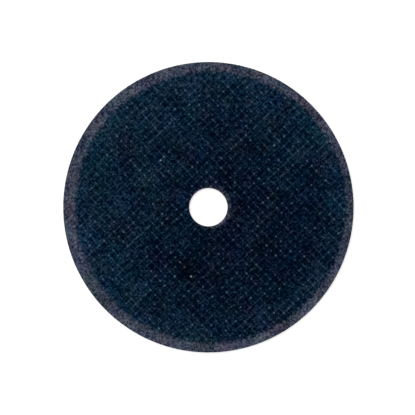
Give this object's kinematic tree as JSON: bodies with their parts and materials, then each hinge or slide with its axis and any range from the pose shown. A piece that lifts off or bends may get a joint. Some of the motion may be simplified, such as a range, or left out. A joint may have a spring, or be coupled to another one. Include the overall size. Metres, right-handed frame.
{
  "type": "cut-off wheel",
  "caption": "Thin flat abrasive disc with a plain central arbor hole and a woven glass mesh moulded into each face, for cutting metal.",
  "frame": {"origin": "on the bore's axis, at the lower face that the wheel lies on", "axes": "+Z along the bore out of the upper face; +X towards the side where the mesh comes nearest the rim"},
  "size_m": [0.076, 0.076, 0.0016],
  "materials": {
    "bonded_abrasive": "matt, gritty, blue-black resin over a woven glass mesh, with a bare grey-violet abrasive rim"
  },
  "bodies": {
    "root": {"cut_off_wheel": "bonded_abrasive"}
  },
  "joints": []
}
